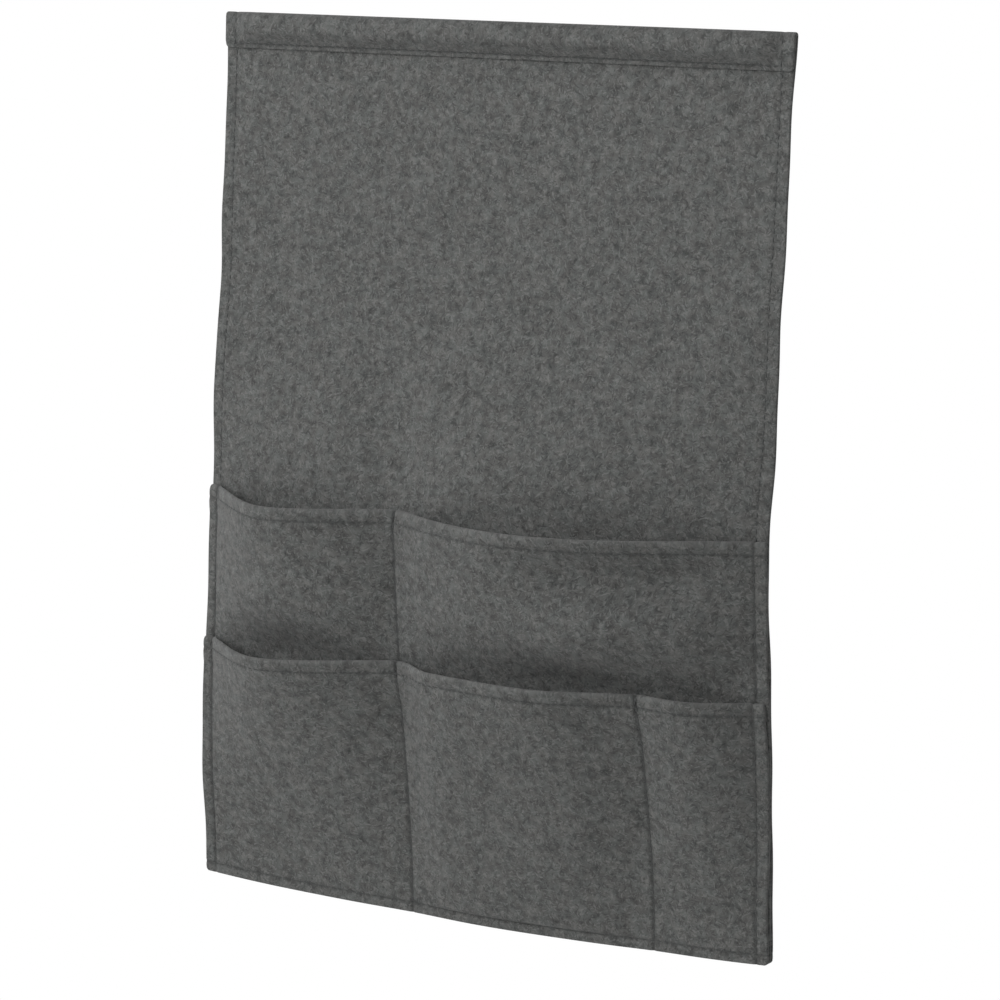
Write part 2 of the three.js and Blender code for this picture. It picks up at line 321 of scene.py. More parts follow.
class FeltForm:
    """Where the felts lie, in metres. Across is from the middle and height from the bottom edge."""

    # How softly the twist sets in at the fold, as a share of the hanging height
    FOLD_EASE = 0.04
    # How blunt the crest of a pocket is, as a share of half its width
    CREST_BLUNT = 0.3
    # How far felt that stands off by a power of 1.5 falls short, times gape squared over height
    SHORTENING = 0.5625
    # Run over which a hem is pressed flat on the way to a side seam
    PRESS_RUN = 0.014

    # Valleys along the dividers: how far above its mouth the first stays full and the second ends, what is
    # left of them at the bottom and the run over which they grow, and the second's size against the first
    VALLEY_1_FULL, VALLEY_2_END = 0.02, 0.06
    BOTTOM_SHARE, BOTTOM_RUN = 0.25, 0.10
    SECOND_SHARE = 0.8
    # The crease above the first valley: from the top edge to its end, from the upper mouth up to its deepest
    # place, the half height of that place, and how far up it leans
    CREASE_END, CREASE_RISE, CREASE_RUN, LEAN_RUN = 0.03, 0.055, 0.045, 0.12
    # Share of the pull by which the felt between the valleys comes forward
    BETWEEN_SHARE = 0.5

    # Pits behind the lower mouths: places and half width as shares of each pocket, and drop below the mouth
    PIT_PLACES, PIT_WIDTH, PIT_DROP = (0.42, 0.75, 0.45), 0.22, 0.003
    # Where across the upper right pocket its belly and its dent start, are full, fade and end
    BELLY_REACH = (0.32, 0.70, 0.84, 1.0)
    DENT_REACH = (0.32, 0.56, 0.80, 1.0)

    # Shares of a full furrow: the side seams beside the pockets and on the flap, the rows of the hems and of
    # the sleeve, the bottom row, and what shows of any seam on the back
    SIDE_FURROW, FLAP_FURROW, ROW_FURROW, BOTTOM_FURROW, BACK_FURROW = 0.85, 0.4, 0.5, 0.6, 0.6
    # Distances below the top edge between which the slow waves set in
    WAVE_FADE = (0.02, 0.08)

    def __init__(self, caddy):
        self.caddy = caddy
        felt, sleeve, pockets, seams = caddy.felt, caddy.sleeve, caddy.pockets, caddy.seams
        self.half = felt.width / 2
        self.layer = felt.thickness + felt.gap
        self.origin_height = felt.fold_height - FOLD_LINE.z
        self.edge_seam = self.half - seams.edge_inset
        self.divider_1 = pockets.divider_1 - self.half
        self.divider_2 = pockets.divider_2 - self.half
        self.raw_edge = felt.height - sleeve.height
        self.sleeve_seam = self.raw_edge + sleeve.seam_inset
        self.rod_radius = (ROD_HIGH.z - ROD_LOW.z) / 2

        # Each pocket: its seams, its gape, the power by which it opens, and its section
        power = pockets.gape_power
        upper_left = self.roof(pockets.upper_left_crest, pockets.upper_left_peak)
        lower_left = self.roof(pockets.lower_left_crest, pockets.lower_left_peak)
        lower_middle = self.shoulders(pockets.lower_middle_left, pockets.lower_middle_right)
        left, first, second, right = -self.edge_seam, self.divider_1, self.divider_2, self.edge_seam
        self.upper_pockets = (
            (left, first, pockets.upper_left_gape, power, upper_left),
            (first, right, pockets.upper_right_gape, power, self.roof()),
        )
        self.lower_pockets = (
            (left, first, pockets.lower_left_gape, power, lower_left),
            (first, second, pockets.lower_middle_gape, pockets.lower_middle_power, lower_middle),
            (second, right, pockets.lower_right_gape, pockets.lower_right_power, self.roof()),
        )

    def roof(self, crest=0.0, peak=0.5):
        """A pocket's section: round, or with a crest where it bends from top to bottom."""
        blunt, foot = self.CREST_BLUNT, math.hypot(1, self.CREST_BLUNT)

        def section(share):
            slant = np.where(share < peak, share / peak - 1, (share - peak) / (1 - peak))
            round_top = np.cos(slant * math.pi / 2)
            return round_top + crest * ((foot - np.hypot(slant, blunt)) / (foot - blunt) - round_top)
        return section

    def shoulders(self, left, right):
        """A pocket's section with a flat front between two sides of these widths."""
        return lambda share: smooth(share, 0, left) * smooth(share, 1, 1 - right)

    def back_face(self, across, height):
        """The back face of the back felt, from the bottom edge to the top of the flap."""
        felt, hang, pockets = self.caddy.felt, self.caddy.hang, self.caddy.pockets
        below = (felt.fold_height - height) / felt.fold_height
        drop = np.clip(below, 0, 1)
        eased = np.clip((below + np.hypot(below, self.FOLD_EASE)) / 2, 0, 1)
        side = across / self.half
        crown = hang.crown * swell(drop, 1 - hang.crown_height / felt.fold_height)
        curl = hang.curl * drop**hang.curl_power
        twist = hang.twist * np.sin(eased * math.pi / 2)
        forward = crown * (1 - side**2) - curl - twist * side
        forward = forward + self.wave(across, height) - self.pull(across, height)
        bend = 2 * crown / self.half**2
        turn = twist / self.half
        drawn_in = (bend**2 * across**3 / 3 + bend * turn * across**2 + turn**2 * across) / 2
        sag = hang.sag * (1 - side**2) * np.clip(1 - height / pockets.upper_mouth, 0, 1)
        return np.stack([across - drawn_in, -forward, height - sag - self.origin_height], -1)

    def pull(self, across, height):
        """Valleys along the dividers, which run out above their tops."""
        felt, hang, pockets = self.caddy.felt, self.caddy.hang, self.caddy.pockets
        above = height - pockets.upper_mouth
        full_1 = smooth(height, felt.fold_height, pockets.upper_mouth + self.VALLEY_1_FULL)
        full_2 = smooth(height, pockets.lower_mouth + self.VALLEY_2_END, pockets.lower_mouth)
        near_bottom = self.BOTTOM_SHARE + (1 - self.BOTTOM_SHARE) * smooth(height, 0.0, self.BOTTOM_RUN)
        crease = hang.crease * smooth(height, felt.height - self.CREASE_END, felt.fold_height)
        deeper = 1 + hang.crease_depth * bell(above - self.CREASE_RISE, self.CREASE_RUN)
        axis = self.divider_1 - hang.crease_lean * np.clip(above, 0, self.LEAN_RUN)
        valley_1 = np.maximum(full_1 * near_bottom * deeper, crease) * bell(across - axis, hang.pull_run)
        valley_2 = full_2 * near_bottom * bell(across - self.divider_2, self.SECOND_SHARE * hang.pull_run)
        between = self.BETWEEN_SHARE * full_1 * (1 - (across / self.half) ** 2)
        return hang.pull * (valley_1 + self.SECOND_SHARE * valley_2 - between)

    def wave(self, across, height):
        """Slow waves that every layer shares, so that the layers stay clear of each other. Their turns are
        in radians for each metre, and they end below the rod, which is straight."""
        waves = np.sin(31 * across + 23 * height + 0.6) + 0.7 * np.sin(47 * height - 38 * across + 2.1)
        waves = waves + 0.5 * np.sin(71 * across + 1.3) * np.sin(64 * height + 0.4)
        return self.caddy.hang.wave * waves * smooth(self.caddy.felt.height - height, *self.WAVE_FADE)

    def gape(self, spans, mouth, across, height):
        """How far a strip stands off the layer behind."""
        ease, seam = self.caddy.pockets.seam_ease, self.caddy.seams.bottom_inset
        rise = np.clip((height - seam) / (mouth - seam), 0, 1)
        total = np.zeros(np.broadcast(across, height).shape)
        for start, end, gape, power, section in spans:
            share = np.clip((across - start) / (end - start), 0, 1)
            beside = np.minimum(share, 1 - share) * (end - start)
            total = total + gape * section(share) * (1 - bell(beside, ease)) * rise**power
        return total

    def tucked(self, gape, across, height):
        """The upper strip's gape where it shows: it sinks behind the lower mouths, most in a pit in each,
        and is dented on the right between its own mouth and a belly."""
        pockets = self.caddy.pockets
        lip = pockets.lower_mouth
        above = height - lip - self.tilt(pockets.lower_tilt, lip, across, lip)
        shown = gape * (1 - pockets.tuck * (1 - smooth(above, 0, pockets.tuck_rise)))
        level = bell(above + self.PIT_DROP, pockets.pit_run)
        for (start, end, *_), place in zip(self.lower_pockets, self.PIT_PLACES):
            beside = (across - start) / (end - start) - place
            shown = shown * (1 - pockets.pit * bell(beside, self.PIT_WIDTH) * level)
        share = np.clip((across - self.divider_1) / (self.edge_seam - self.divider_1), 0, 1)
        for depth, drop, run, (start, full, fade, end) in (
            (pockets.belly, pockets.belly_drop, pockets.belly_run, self.BELLY_REACH),
            (-pockets.dent, pockets.dent_drop, pockets.dent_run, self.DENT_REACH),
        ):
            reach = smooth(share, start, full) * smooth(share, end, fade)
            shown = shown + depth * reach * bell(height - pockets.upper_mouth + drop, run)
        return shown

    def tilt(self, rises, mouth, across, height):
        """How far a strip is raised on the way up to a mouth that isn't quite level."""
        seam = self.caddy.seams.bottom_inset
        t = across / self.half
        left, middle, right = rises
        rise = left * (t * t - t) / 2 + middle * (1 - t * t) + right * (t * t + t) / 2
        return rise * np.clip((height - seam) / (mouth - seam), 0, 1)

    def hem_press(self, across):
        """What is left of a hem's thickness: all of it between the side seams, less beyond them."""
        flat = smooth(np.abs(across), self.edge_seam - self.PRESS_RUN, self.edge_seam)
        return 1 - self.caddy.pockets.hem_press * flat

    def stand_off(self, points, gape, shown, mouth, across, height):
        """Moves a strip's back face off the layer behind, by the gape that shows and by its turned hem,
        which is pressed tight at the side seams."""
        pockets = self.caddy.pockets
        hem_edge = mouth - pockets.hem
        press = self.hem_press(across)
        hem = self.layer * press * smooth(height, hem_edge - pockets.hem_rise * press, hem_edge)
        points[..., 1] -= self.layer + np.hypot(shown, hem)
        points[..., 2] -= self.SHORTENING * gape**2 / mouth
        return points

    def upper_face(self, across, height, carrying=False):
        """The back face of the upper strip, or what the lower strip is laid on."""
        points = self.back_face(across, height)
        mouth = self.caddy.pockets.upper_mouth
        shown = gape = self.gape(self.upper_pockets, mouth, across, height)
        if not carrying:
            points[..., 2] += self.tilt(self.caddy.pockets.upper_tilt, mouth, across, height)
            shown = self.tucked(gape, across, height)
        return self.stand_off(points, gape, shown, mouth, across, height)

    def lower_face(self, across, height):
        """The back face of the lower strip."""
        points = self.upper_face(across, height, carrying=True)
        mouth = self.caddy.pockets.lower_mouth
        points[..., 2] += self.tilt(self.caddy.pockets.lower_tilt, mouth, across, height)
        gape = self.gape(self.lower_pockets, mouth, across, height)
        return self.stand_off(points, gape, gape, mouth, across, height)

    def furrow(self, *distances):
        """How far the seams at these distances pull a face in."""
        seams = self.caddy.seams
        pulls = [bell(distance, seams.furrow_width) for distance in distances]
        return seams.furrow_depth * np.maximum.reduce(np.broadcast_arrays(*pulls))

    def side_furrows(self, across, height):
        """The side seams sink more where they hold the pockets."""
        pull = self.furrow(across - self.edge_seam, across + self.edge_seam)
        return pull * np.where(height < self.caddy.pockets.upper_mouth, self.SIDE_FURROW, self.FLAP_FURROW)

    def columns(self):
        """The stations across, closer at the seams."""
        seams = (-self.edge_seam, self.divider_1, self.divider_2, self.edge_seam)
        return graded(-self.half, self.half, self.caddy.felt.mesh_step, seams)


def strip_path(form, mouth, across):
    """A strip's middle: up to its mouth, over, and down behind itself to the hem's raw edge."""
    felt, pockets, seams = form.caddy.felt, form.caddy.pockets, form.caddy.seams
    turn_steps, lap_step = 12, 0.002
    # Stations this close to the turn are left out
    row_clear, lap_clear = 0.0004, 0.0015
    radius = form.layer / 2
    seam = mouth - pockets.hem_seam
    turn_height = mouth - felt.thickness - felt.gap / 2
    rows = graded(0.0, turn_height, felt.mesh_step, (seams.bottom_inset, seam))
    rows = np.append(rows[rows <= turn_height - row_clear], turn_height)
    turns = np.linspace(0, math.pi, turn_steps + 1)[1:]
    lap = graded(mouth - pockets.hem, turn_height, lap_step, (seam,))[::-1]
    lap = lap[lap < turn_height - lap_clear]
    depth = np.concatenate([
        np.full(len(rows), felt.thickness / 2),
        radius * np.cos(turns) - felt.gap / 2,
        np.full(len(lap), -felt.gap - felt.thickness / 2),
    ])
    height = np.concatenate([rows, turn_height + radius * np.sin(turns), lap])
    on_lap = np.arange(len(height)) >= len(rows) + turn_steps // 2
    press = form.hem_press(across)[:, None]
    depth = np.where(depth < 0, depth * press, depth)
    spread = np.ones_like(press)
    return depth, height * spread, on_lap * spread, np.where(on_lap, press, 1.0)


def sleeve_path(form, across):
    """The back felt's middle: up the panel and the flap, over the rod, and down the lap in front."""
    felt, sleeve, pockets, seams = form.caddy.felt, form.caddy.sleeve, form.caddy.pockets, form.caddy.seams
    rise_steps, turn_steps, fall_steps, lap_step = 4, 18, 12, 0.0012
    # The felt goes straight up to this far below the top edge, and straight down for this share of the way
    # from the turn to the seam
    bend_drop, straight_share = 0.016, 0.3
    thick = felt.thickness
    least = felt.gap / 2
    from_seam = form.edge_seam - seams.thread - np.abs(across)
    radius = least + (form.rod_radius + sleeve.clearance - least) * smooth(from_seam, 0, sleeve.pinch_run)
    radius = radius[:, None]
    centre_depth = thick + radius
    centre_height = felt.height - thick - radius
    straight_top = felt.height - bend_drop
    bends = (seams.bottom_inset, pockets.lower_mouth, pockets.upper_mouth, felt.fold_height)
    rows = graded(0.0, straight_top, felt.mesh_step, bends)
    rise = np.linspace(0, 1, rise_steps + 1)[1:]
    turns = np.linspace(0, math.pi, turn_steps + 1)[1:]
    fall = np.linspace(0, 1, fall_steps + 1)[1:]
    lap = graded(form.raw_edge, form.sleeve_seam, lap_step)[::-1][1:]
    ones = np.ones((len(across), 1))
    lap_depth = form.layer + thick / 2
    front_depth = centre_depth + radius + thick / 2
    depth = np.concatenate([
        np.full(len(rows) + rise_steps, thick / 2) * ones,
        centre_depth - (radius + thick / 2) * np.cos(turns),
        front_depth + (lap_depth - front_depth) * smooth(fall, straight_share, 1),
        np.full(len(lap), lap_depth) * ones,
    ], axis=1)
    height = np.concatenate([
        rows * ones,
        straight_top + (centre_height - straight_top) * rise,
        centre_height + (radius + thick / 2) * np.sin(turns),
        centre_height + (form.sleeve_seam - centre_height) * fall,
        lap * ones,
    ], axis=1)
    on_lap = (np.arange(depth.shape[1]) >= len(rows) + rise_steps + turn_steps) * ones
    return depth, height, on_lap


def closed_faces(columns, rows):
    """Faces of a front grid, a back grid and the rim between them, and how many of them are rim."""
    grid = np.arange(columns * rows).reshape(columns, rows)
    a, b, c, d = grid[:-1, :-1], grid[1:, :-1], grid[1:, 1:], grid[:-1, 1:]
    front = np.stack([a, b, c, d], -1).reshape(-1, 4)
    back = np.stack([a, d, c, b], -1).reshape(-1, 4) + grid.size
    rim = np.concatenate([grid[:-1, 0], grid[-1, :-1], grid[:0:-1, -1], grid[0, :0:-1]])
    after = np.roll(rim, -1)
    edge = np.stack([rim, rim + grid.size, after + grid.size, after], -1)
    return np.concatenate([front, back, edge]), len(edge)


def store(mesh, name, kind, values):
    """Keeps a value for each point of a mesh."""
    attribute = mesh.attributes.new(name, kind, "POINT")
    field = "vector" if kind == "FLOAT_VECTOR" else "value"
    attribute.data.foreach_set(field, np.concatenate(values).astype(np.float32).ravel())


def lay_map(mesh, form, places, faces, rim):
    """The felt's flat map: front and back side by side, and the rim above them."""
    margin, rim_low, rim_high = 0.004, 0.985, 0.993
    width = form.caddy.felt.width
    flat = np.concatenate(places)[:, :2] + [form.half + margin, margin]
    longest = flat[:, 1].max() - margin
    flat[len(flat) // 2:, 0] += width + 2 * margin
    corners = flat[faces] / (max(2 * width, longest) + 5 * margin)
    run = np.linspace(margin, 1 - margin, rim + 1)
    corners[-rim:, :2, 0] = run[:-1, None]
    corners[-rim:, 2:, 0] = run[1:, None]
    corners[-rim:, :, 1] = rim_low, rim_high, rim_high, rim_low
    layer = mesh.uv_layers.new(name="OFBake", do_init=False)
    layer.uv.foreach_set("vector", corners.astype(np.float32).ravel())


def link(name, data):
    """A new object in the scene."""
    obj = bpy.data.objects.new(name, data)
    bpy.context.scene.collection.objects.link(obj)
    return obj


def lay_felt(name, form, across, path, face, dents, phase, pressed_end=0.0, fold=0.0, thinned=1.0):
    """A felt as a closed mesh, and its length. Path is the depth and height of the middle of the felt
    along each column, and face is what it is laid on. Dents are those of its front, which faces the
    pockets on the way up, and of its back. Fold is 1 along the top of a hem, and thinned is what is left
    of the thickness."""
    felt, hang = form.caddy.felt, form.caddy.hang
    # Shares of the thickness: kept by a cut edge, half of a pressed end's loss, and half of the least left
    cut_share, pressed_share, least_share = 0.42, 0.175, 0.2
    # Run beside a side edge that strays with it, and how far a hem's fold is drawn in there
    stray_run, hem_draw = 0.02, 0.0012
    depth, height = path
    along_depth = np.gradient(depth, axis=1)
    along_height = np.gradient(height, axis=1)
    run = np.hypot(along_depth, along_height)
    steps = np.hypot(np.diff(depth, axis=1), np.diff(height, axis=1))
    length = np.concatenate([np.zeros((len(across), 1)), np.cumsum(steps, axis=1)], axis=1)
    to_end = length[:, -1:] - length
    side = np.broadcast_to(across[:, None], depth.shape)
    reach = np.abs(side)

    # Cut edges are rounded, and the raw edge of a lap is pressed thin
    t = np.clip(np.minimum.reduce([form.half - reach, length, to_end]) / felt.cut_round, 0, 1)
    half_thick = thinned * felt.thickness / 2 * (cut_share + (1 - cut_share) * np.sqrt(1 - (1 - t) ** 2))
    if pressed_end:
        thin = pressed_share * felt.thickness * (1 - smooth(to_end, 0, pressed_end))
        depth = depth - thin
        half_thick = np.maximum(half_thick - thin, least_share * felt.thickness)

    # Side edges stray a little and are drawn in at a hem, and the bottom corners are rounded
    stray = np.sin(43 * length + phase) + 0.6 * np.sin(97 * length + 2.3 * phase)
    fold = fold * np.ones_like(depth)
    outward = smooth(reach, form.half - stray_run, form.half)
    corner = felt.corner_round
    low = np.clip(corner - np.minimum(length, to_end), 0, corner)
    cut_back = (corner - np.sqrt(corner**2 - low**2)) * smooth(reach, form.half - 3 * corner, form.half)
    moved = side + np.sign(side) * ((hang.edge_wander * stray - hem_draw * fold) * outward - cut_back)

    points, places = [], []
    for way, dent in zip((1, -1), dents):
        off = way * (half_thick - dent)
        laid = face(moved, height - along_depth / run * off)
        laid[..., 1] -= depth + along_height / run * off
        points.append(laid.reshape(-1, 3))
        place = np.stack([moved, length, np.full_like(length, way * felt.thickness / 2)], -1)
        places.append(place.reshape(-1, 3))
    faces, rim = closed_faces(*depth.shape)
    mesh = bpy.data.meshes.new(name)
    mesh.from_pydata(np.concatenate(points), [], faces.tolist())
    store(mesh, "felt_place", "FLOAT_VECTOR", places)
    # How deep each seam furrow is, which paints the felt darker there: painted shade in the furrow, and felt
    # pressed by the stitches
    store(mesh, "pressed", "FLOAT", [dent.ravel() / form.caddy.seams.furrow_depth for dent in dents])
    # Closeness to a cut edge, by which the edge is painted darker as painted shade on its sides
    store(mesh, "cut_edge", "FLOAT", [1 - t.ravel()] * 2)
    # The top of each hem's fold, which is painted lighter: a painted highlight, with fibres worn there
    store(mesh, "worn", "FLOAT", [fold.ravel()] * 2)
    lay_map(mesh, form, places, faces, rim)
    mesh.shade_smooth()
    mesh.validate()
    mesh.materials.append(finish("melange_felt", felt_finish, form.caddy))
    return link(name, mesh), float(length.max())


# Finishes

class Value:
    """A shader socket that takes part in Python's arithmetic."""

    def __init__(self, finish, socket):
        self.finish = finish
        self.socket = socket

    def __add__(self, other):
        return self.finish.math("ADD", self, other)

    def __sub__(self, other):
        return self.finish.math("SUBTRACT", self, other)

    def __mul__(self, other):
        return self.finish.math("MULTIPLY", self, other)

    def __rsub__(self, other):
        return self.finish.math("SUBTRACT", other, self)

    __radd__ = __add__
    __rmul__ = __mul__


class Finish:
    """A material whose nodes are written as expressions."""

    def __init__(self, name):
        self.material = bpy.data.materials.new(name)
        self.material.use_nodes = True
        self.tree = self.material.node_tree
        self.surface = self.tree.nodes["Principled BSDF"]

    def node(self, kind, settings=None, sockets=None, output=0):
        """Adds a node: its settings first, then the values or links of its sockets."""
        made = self.tree.nodes.new(kind)
        for key, value in (settings or {}).items():
            setattr(made, key, value)
        for key, value in (sockets or {}).items():
            self.feed(made.inputs[key], value)
        return Value(self, made.outputs[output])

    def feed(self, socket, value):
        if isinstance(value, Value):
            self.tree.links.new(value.socket, socket)
        elif socket.type == "RGBA":
            socket.default_value = (*value, 1)
        else:
            socket.default_value = value

    def math(self, operation, first, second):
        return self.node("ShaderNodeMath", {"operation": operation}, {0: first, 1: second})

    def between(self, value, low, high):
        """0 below low, 1 above high, and smooth between."""
        sockets = {"Value": value, "From Min": low, "From Max": high}
        return self.node("ShaderNodeMapRange", {"interpolation_type": "SMOOTHSTEP"}, sockets)

    def mix(self, share, first, second):
        sockets = {"Factor": share, 6: first, 7: second}
        return self.node("ShaderNodeMix", {"data_type": "RGBA"}, sockets, output=2)

    def noise(self, place, scale, detail=2.0, roughness=0.5, output=0):
        sockets = {"Vector": place, "Scale": scale, "Detail": detail, "Roughness": roughness}
        return self.node("ShaderNodeTexNoise", {"noise_dimensions": "3D"}, sockets, output)

    def bump(self, height, strength, distance):
        sockets = {"Height": height, "Strength": strength, "Distance": distance}
        return self.node("ShaderNodeBump", None, sockets)

    def attribute(self, name, output=2):
        return self.node("ShaderNodeAttribute", {"attribute_name": name}, output=output)

    def place(self):
        """The object's own coordinates."""
        return self.node("ShaderNodeTexCoord", output=3)

    def set(self, **sockets):
        for key, value in sockets.items():
            self.feed(self.surface.inputs[key.replace("_", " ")], value)


def felt_finish(caddy):
    """Melange felt: short fibres of light and dark wool. Painted shade darkens the seam furrows, where the felt is
    also pressed at the seams, and the cut edges, and a painted highlight lightens the fold of each hem.
    """
    shades = caddy.finishes
    felt = Finish("melange_felt")
    place = felt.attribute("felt_place", output=1)
    pressed = felt.attribute("pressed")

    # Fibres lie every way, so streaks are laid at four angles and bent by a slow noise
    bend = felt.noise(place, 260.0, 1.0, output=1)
    curled = felt.node(
        "ShaderNodeVectorMath", {"operation": "MULTIPLY_ADD"}, {0: bend, 1: (0.0028,) * 3, 2: place}
    )
    streaks = []
    for angle, length in ((0.35, 4.2), (1.92, 3.8), (1.15, 4.0), (2.75, 4.4)):
        turned = felt.node("ShaderNodeMapping", {"vector_type": "TEXTURE"}, {
            "Vector": curled, "Rotation": (0.0, 0.0, angle), "Scale": (1.0, length, 1.0),
            "Location": (0.013 * angle, 0.007, 0.003),
        })
        streaks.append(felt.noise(turned, 900.0, 1.0))
    light = felt.between(felt.math("MAXIMUM", *streaks[:2]), 0.54, 0.76)
    dark = felt.between(felt.math("MINIMUM", *streaks[2:]), 0.46, 0.25)
    blotch = felt.noise(place, 190.0, 2.0, 0.62)
    cloud = felt.noise(place, 70.0)
    warmth = felt.between(felt.noise(place, 130.0, 1.0), 0.35, 0.65)
    tone = -0.12 + 1.70 * blotch + 0.60 * cloud

    body = felt.mix(warmth, shades.felt_cool, shades.felt_warm)
    colour = felt.node("ShaderNodeVectorMath", {"operation": "SCALE"}, {0: body, "Scale": tone})
    for share, over in (
        (light * 0.48, shades.fibre_light),
        (dark * 0.55, shades.fibre_dark),
        # Painted highlight along the top of each hem's fold, with fibres worn there
        (felt.attribute("worn") * 0.24, shades.fibre_light),
        # Painted shade in the seam furrows, with felt pressed there by the stitches
        (pressed * 0.52, shades.fibre_dark),
        # Painted shade on the cut edges
        (felt.attribute("cut_edge") * 0.15, shades.fibre_dark),
    ):
        colour = felt.mix(share, colour, over)
    fuzz = felt.bump(0.5 * light - 0.5 * dark + 0.7 * blotch, 0.35, 0.0004)
    felt.set(Base_Color=colour, Roughness=0.94 + 0.05 * pressed, Normal=fuzz)
    felt.set(Specular_IOR_Level=0.18, Sheen_Weight=0.12, Sheen_Roughness=0.6)
    return felt.material


def thread_finish(caddy):
    """Spun thread with a fine twist."""
    thread = Finish("sewing_thread")
    place = thread.place()
    ply = thread.noise(place, 2600.0)
    # Random paler and rougher places where the thread is worn
    worn = thread.noise(place, 180.0, 1.0)
    colour = caddy.finishes.thread
    paler = [min(1.0, 1.7 * c) for c in colour]
    thread.set(Base_Color=thread.mix(0.6 * ply + 0.4 * worn - 0.2, colour, paler))
    thread.set(Roughness=0.62 + 0.2 * worn, Normal=thread.bump(ply, 0.5, 0.0001))
    thread.set(Specular_IOR_Level=0.3, Sheen_Weight=0.2)
    return thread.material


def rod_finish(caddy):
    """Drawn plastic rod with faint marks along it."""
    rod = Finish("drawn_plastic")
    place = rod.place()
    drawn = rod.node("ShaderNodeMapping", None, {"Vector": place, "Scale": (6.0, 900.0, 900.0)})
    marks = rod.noise(drawn, 1.0, 3.0)
    colour = caddy.finishes.rod
    darker = [0.86 * c for c in colour]
    rod.set(Base_Color=rod.mix(0.5 * rod.noise(place, 35.0), colour, darker))
    rod.set(Roughness=0.34 + 0.18 * marks, Normal=rod.bump(marks, 0.2, 0.0001))
    return rod.material


def finish(name, make, caddy):
    """The material of that name, made on first use."""
    return bpy.data.materials.get(name) or make(caddy)


# Stitches

def stitch_tree():
    """Geometry nodes that sew stitches along the lines of a mesh."""
    tree = bpy.data.node_groups.new("caddy_stitches", "GeometryNodeTree")
    tree.interface.new_socket("Geometry", in_out="OUTPUT", socket_type="NodeSocketGeometry")
    for name, kind in (
        ("Geometry", "Geometry"), ("Pitch", "Float"), ("Stitch Length", "Float"),
        ("Thread Diameter", "Float"), ("Seed", "Int"), ("Thread", "Material"),
    ):
        tree.interface.new_socket(name, in_out="INPUT", socket_type=f"NodeSocket{kind}")

    def node(kind, settings=None, **sockets):
        """Adds a node and returns its first output. A space in a socket's name is written as _."""
        made = tree.nodes.new(kind)
        for key, value in (settings or {}).items():
            setattr(made, key, value)
        for key, value in sockets.items():
            socket = made.inputs[key.replace("_", " ")]
            if isinstance(value, bpy.types.NodeSocket):
                tree.links.new(value, socket)
            else:
                socket.default_value = value
        return made.outputs[0] if made.outputs else None

    def times(value, factor):
        made = tree.nodes.new("ShaderNodeMath")
        made.operation = "MULTIPLY"
        tree.links.new(value, made.inputs[0])
        made.inputs[1].default_value = factor
        return made.outputs[0]

    given = tree.nodes.new("NodeGroupInput").outputs
    length, thick = given["Stitch Length"], given["Thread Diameter"]
    lines = node("GeometryNodeMeshToCurve", Mesh=given["Geometry"])
    spaced = node("GeometryNodeResampleCurve", {"mode": "LENGTH"}, Curve=lines, Length=given["Pitch"])

    # One stitch: a short arch of thread whose ends dive into the felt
    dive, crest = times(thick, -0.75), times(thick, 1.15)
    arch = node(
        "GeometryNodeCurveQuadraticBezier", Resolution=6,
        Start=node("ShaderNodeCombineXYZ", X=times(length, -0.5), Z=dive),
        Middle=node("ShaderNodeCombineXYZ", Z=crest),
        End=node("ShaderNodeCombineXYZ", X=times(length, 0.5), Z=dive),
    )
    ring = node(
        "GeometryNodeCurvePrimitiveCircle", {"mode": "RADIUS"}, Resolution=6, Radius=times(thick, 0.5)
    )
    stitch = node("GeometryNodeCurveToMesh", Curve=arch, Profile_Curve=ring, Fill_Caps=True)

    # Each stitch lies along its seam with its crest away from the felt, and no two are alike
    vector = {"data_type": "FLOAT_VECTOR"}
    along = node(
        "FunctionNodeAxesToRotation", {"primary_axis": "X", "secondary_axis": "Z"},
        Primary_Axis=node("GeometryNodeInputTangent"),
        Secondary_Axis=node("GeometryNodeInputNamedAttribute", vector, Name="out_of_felt"),
    )
    yaw = node(
        "FunctionNodeRandomValue", vector,
        Min=(-0.02, -0.05, -0.09), Max=(0.02, 0.05, 0.09), Seed=given["Seed"],
    )
    scale = node(
        "FunctionNodeRandomValue", vector,
        Min=(0.90, 0.92, 0.88), Max=(1.06, 1.08, 1.10), Seed=given["Seed"],
    )
    turned = node("FunctionNodeRotateRotation", {"rotation_space": "LOCAL"}, Rotation=along, Rotate_By=yaw)
    sewn = node("GeometryNodeInstanceOnPoints", Points=spaced, Instance=stitch, Rotation=turned, Scale=scale)
    solid = node("GeometryNodeRealizeInstances", Geometry=sewn)
    soft = node("GeometryNodeSetShadeSmooth", Geometry=solid)
    coloured = node("GeometryNodeSetMaterial", Geometry=soft, Material=given["Thread"])
    node("NodeGroupOutput", Geometry=coloured)
    return tree


